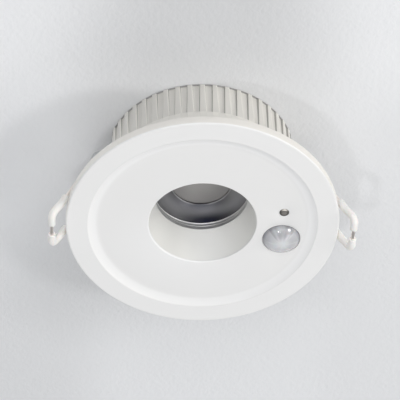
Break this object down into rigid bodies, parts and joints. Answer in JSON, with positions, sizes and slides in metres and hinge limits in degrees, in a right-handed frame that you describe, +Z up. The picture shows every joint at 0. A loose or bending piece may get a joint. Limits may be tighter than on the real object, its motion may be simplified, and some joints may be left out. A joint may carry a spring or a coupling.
{
  "type": "recessed light",
  "caption": "Round recessed ceiling light with a deep anti-glare cone, a domed motion sensor, a small light sensor window, a ribbed heat sink and sprung wire clips.",
  "frame": {"origin": "centre of the flange's back face, which lies on the ceiling's underside", "axes": "+Z up into the ceiling void, the light shines along -Z, +X and -X point at the two clips, and the motion sensor is near +X"},
  "size_m": [0.124, 0.11, 0.0471],
  "materials": {
    "bezel_white": "satin",
    "body_white": "satin",
    "cone_white": "matte",
    "turned_metal": "satin",
    "metallised": "gloss",
    "opal": "matte",
    "lens_milk": "satin",
    "guide_dark": "gloss",
    "silicone": "matte",
    "spring_steel": "satin",
    "zinc_steel": "satin",
    "gasket_grey": "matte",
    "thermal_grey": "matte",
    "board_green": "satin",
    "board_white": "satin",
    "phosphor": "satin",
    "sensor_can": "satin",
    "black_plastic": "matte",
    "ferrite": "matte",
    "grey_plastic": "matte",
    "lead_insulation": "satin"
  },
  "bodies": {
    "housing": {"front_bezel": "bezel_white", "heat_sink": "body_white", "anti_glare_cone": "cone_white", "optic_ring": "turned_metal", "reflector": "metallised", "diffuser": "opal", "pir_lens": "lens_milk", "light_guide": "guide_dark", "right_clip_springs": "spring_steel", "left_clip_springs": "spring_steel", "right_clip_bracket": "zinc_steel", "left_clip_bracket": "zinc_steel", "right_pivot_pin": "zinc_steel", "left_pivot_pin": "zinc_steel", "right_bracket_screws": "zinc_steel", "left_bracket_screws": "zinc_steel", "body_screws": "zinc_steel", "led_holder_screws": "zinc_steel", "sensor_board_screws": "zinc_steel", "driver_board_screws": "zinc_steel", "terminal_screws": "zinc_steel", "cord_clamp_screws": "zinc_steel", "ceiling_gasket": "gasket_grey", "body_seal": "gasket_grey", "cable_grommet": "gasket_grey", "rear_ring": "gasket_grey", "thermal_pad": "thermal_grey", "sensor_board": "board_green", "driver_board": "board_green", "led_board": "board_white", "led_emitter": "phosphor", "pir_sensor": "sensor_can", "photocell": "black_plastic", "board_header": "black_plastic", "driver_capacitor": "black_plastic", "driver_choke": "ferrite", "terminal_block": "grey_plastic", "cord_clamp_base": "grey_plastic", "cord_clamp_bar": "grey_plastic", "led_holder": "grey_plastic", "led_leads": "lead_insulation"},
    "right_clip": {"right_clip_wire": "spring_steel", "right_front_sleeve": "silicone", "right_rear_sleeve": "silicone"},
    "left_clip": {"left_clip_wire": "spring_steel", "left_front_sleeve": "silicone", "left_rear_sleeve": "silicone"}
  },
  "joints": [
    {"name": "right_clip_pivot", "type": "hinge", "parent": "housing", "child": "right_clip", "pos_m": [0.0419, 0, 0.02356], "axis": [0, -1, 0], "range_deg": [0, 148], "stiffness_Nm_per_rad": 0.12, "springref_deg": -51.57},
    {"name": "left_clip_pivot", "type": "hinge", "parent": "housing", "child": "left_clip", "pos_m": [-0.0419, 0, 0.02356], "axis": [0, 1, 0], "range_deg": [0, 148], "stiffness_Nm_per_rad": 0.12, "springref_deg": -51.57}
  ]
}
